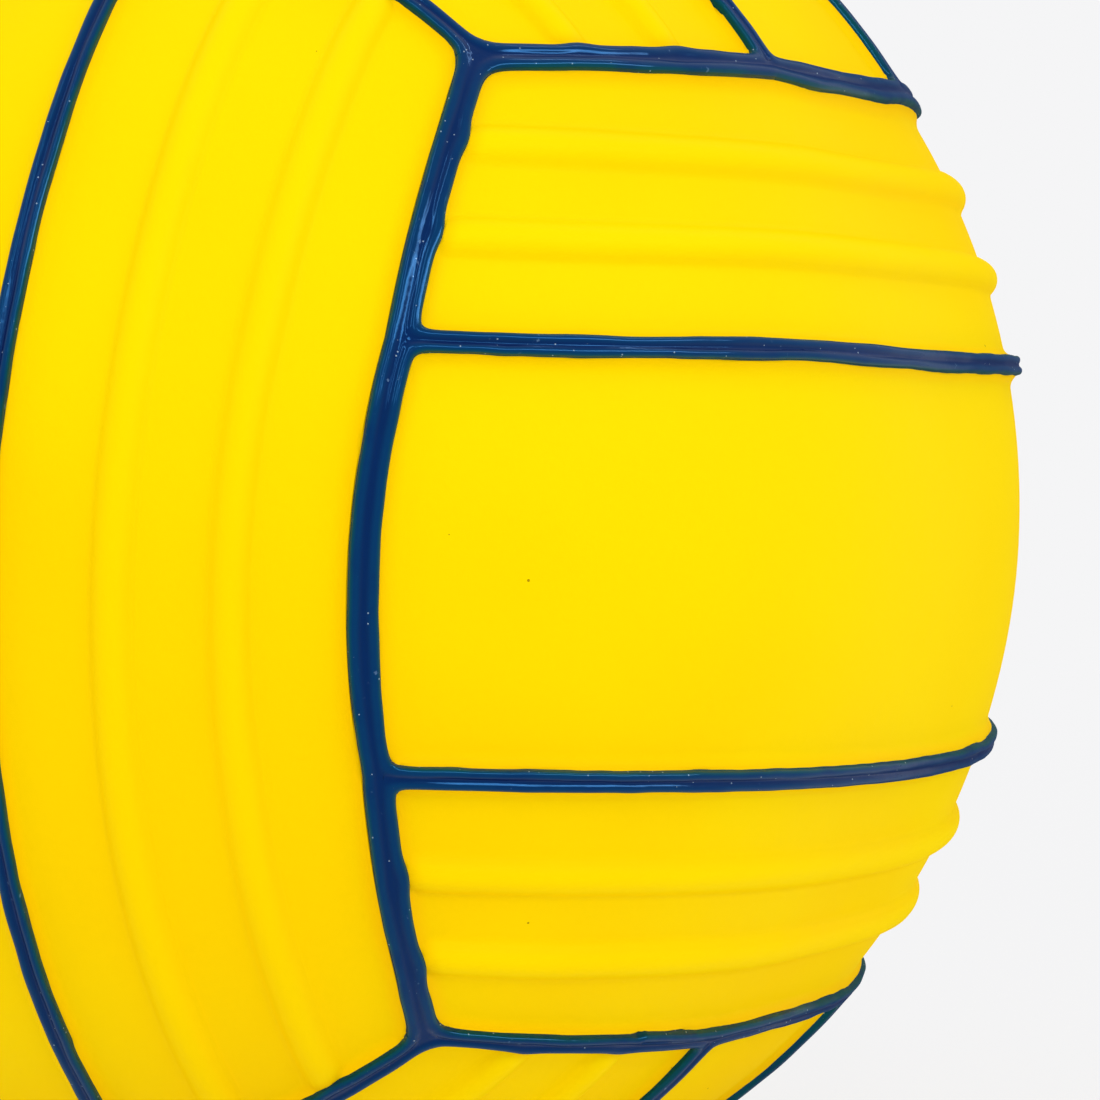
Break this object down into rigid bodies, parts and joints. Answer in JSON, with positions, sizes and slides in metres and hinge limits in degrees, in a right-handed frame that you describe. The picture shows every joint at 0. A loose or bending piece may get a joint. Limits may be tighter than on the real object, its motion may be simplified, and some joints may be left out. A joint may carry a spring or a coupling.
{
  "type": "water_polo_ball",
  "caption": "Yellow rubber water polo ball with navy raised seam strips, smooth middle panels, ribbed outer panels and a needle valve.",
  "frame": {"origin": "centre of the ball", "axes": "+Z out of the needle valve, in the middle of the top face; +X out of the face shown on the right of the picture, -Y out of the face shown on its left"},
  "size_m": [0.219, 0.2198, 0.2192],
  "materials": {
    "yellow_rubber": "satin",
    "navy_rubber": "gloss",
    "carcass_rubber": "matte",
    "nylon_yarn": "matte",
    "bladder_rubber": "matte",
    "valve_rubber": "satin",
    "plug_rubber": "matte"
  },
  "bodies": {
    "root": {"bladder": "bladder_rubber", "carcass_layer": "carcass_rubber", "divider_back_left": "navy_rubber", "divider_back_right": "navy_rubber", "divider_bottom_back": "navy_rubber", "divider_bottom_front": "navy_rubber", "divider_front_left": "navy_rubber", "divider_front_right": "navy_rubber", "divider_left_bottom": "navy_rubber", "divider_left_top": "navy_rubber", "divider_right_bottom": "navy_rubber", "divider_right_top": "navy_rubber", "divider_top_back": "navy_rubber", "divider_top_front": "navy_rubber", "edge_back_bottom": "navy_rubber", "edge_back_top": "navy_rubber", "edge_bottom_left": "navy_rubber", "edge_bottom_right": "navy_rubber", "edge_front_bottom": "navy_rubber", "edge_front_top": "navy_rubber", "edge_left_back": "navy_rubber", "edge_left_front": "navy_rubber", "edge_right_back": "navy_rubber", "edge_right_front": "navy_rubber", "edge_top_left": "navy_rubber", "edge_top_right": "navy_rubber", "panel_back_left": "yellow_rubber", "panel_back_middle": "yellow_rubber", "panel_back_right": "yellow_rubber", "panel_bottom_back": "yellow_rubber", "panel_bottom_front": "yellow_rubber", "panel_bottom_middle": "yellow_rubber", "panel_front_left": "yellow_rubber", "panel_front_middle": "yellow_rubber", "panel_front_right": "yellow_rubber", "panel_left_bottom": "yellow_rubber", "panel_left_middle": "yellow_rubber", "panel_left_top": "yellow_rubber", "panel_right_bottom": "yellow_rubber", "panel_right_middle": "yellow_rubber", "panel_right_top": "yellow_rubber", "panel_top_back": "yellow_rubber", "panel_top_front": "yellow_rubber", "panel_top_middle": "yellow_rubber", "valve_housing": "valve_rubber", "valve_plug": "plug_rubber", "yarn_winding": "nylon_yarn"}
  },
  "joints": []
}
